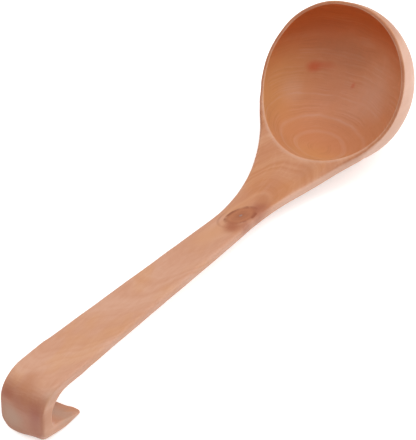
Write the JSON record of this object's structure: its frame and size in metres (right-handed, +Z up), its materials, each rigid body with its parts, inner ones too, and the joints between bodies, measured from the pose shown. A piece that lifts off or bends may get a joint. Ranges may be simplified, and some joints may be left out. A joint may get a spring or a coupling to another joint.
{
  "type": "soup ladle",
  "caption": "Carved wooden soup ladle: a deep oval bowl, a flat handle that widens from the neck, and a square hook at its end that hangs it on a pot rim or rail.",
  "frame": {"origin": "on the table that the ladle lies on, below the middle of its length and width", "axes": "+X along the ladle from the bowl to the hook, +Z up off the table, +Y across the ladle; y = 0 is its plane of symmetry"},
  "size_m": [0.3341, 0.09, 0.0879],
  "materials": {
    "ladle": "bare wood, cut smooth and lightly oiled"
  },
  "bodies": {
    "root": {"ladle": "ladle"}
  },
  "joints": []
}
